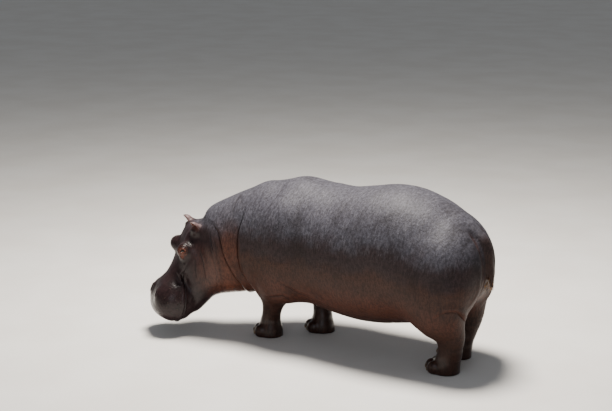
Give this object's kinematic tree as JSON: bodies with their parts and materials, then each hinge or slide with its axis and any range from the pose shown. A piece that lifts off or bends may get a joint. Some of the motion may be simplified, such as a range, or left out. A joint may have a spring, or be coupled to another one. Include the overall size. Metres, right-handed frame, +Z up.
{
  "type": "common hippopotamus",
  "caption": "Adult hippopotamus at life size, standing with its barrel body level, its head lowered and turned to its left, short legs and a flat tail.",
  "frame": {"origin": "on the floor, under the middle of the bounding box", "axes": "+Z up, +X towards the tail, -X towards the muzzle, +Y to the animal's right"},
  "size_m": [2.964, 1.269, 1.3868],
  "materials": {
    "hide": "bare wrinkled skin, damp, dull sheen",
    "face_hide": "bare skin, wet and glossy on the muzzle",
    "ear_skin": "thin pinkish skin, dull",
    "eye": "wet, glossy, dark brown",
    "toenail": "horn, half dull"
  },
  "bodies": {
    "root": {"trunk": "hide", "neck": "hide", "head": "face_hide", "lower_jaw": "face_hide", "ear_left": "ear_skin", "ear_right": "ear_skin", "eye_left": "eye", "eye_right": "eye", "foreleg_left": "hide", "foreleg_right": "hide", "hindleg_left": "hide", "hindleg_right": "hide", "forefoot_left": "hide", "forefoot_right": "hide", "hindfoot_left": "hide", "hindfoot_right": "hide", "toenail_forefoot_left_1": "toenail", "toenail_forefoot_left_2": "toenail", "toenail_forefoot_left_3": "toenail", "toenail_forefoot_left_4": "toenail", "toenail_forefoot_right_1": "toenail", "toenail_forefoot_right_2": "toenail", "toenail_forefoot_right_3": "toenail", "toenail_forefoot_right_4": "toenail", "toenail_hindfoot_left_1": "toenail", "toenail_hindfoot_left_2": "toenail", "toenail_hindfoot_left_3": "toenail", "toenail_hindfoot_left_4": "toenail", "toenail_hindfoot_right_1": "toenail", "toenail_hindfoot_right_2": "toenail", "toenail_hindfoot_right_3": "toenail", "toenail_hindfoot_right_4": "toenail", "tail": "hide"}
  },
  "joints": []
}
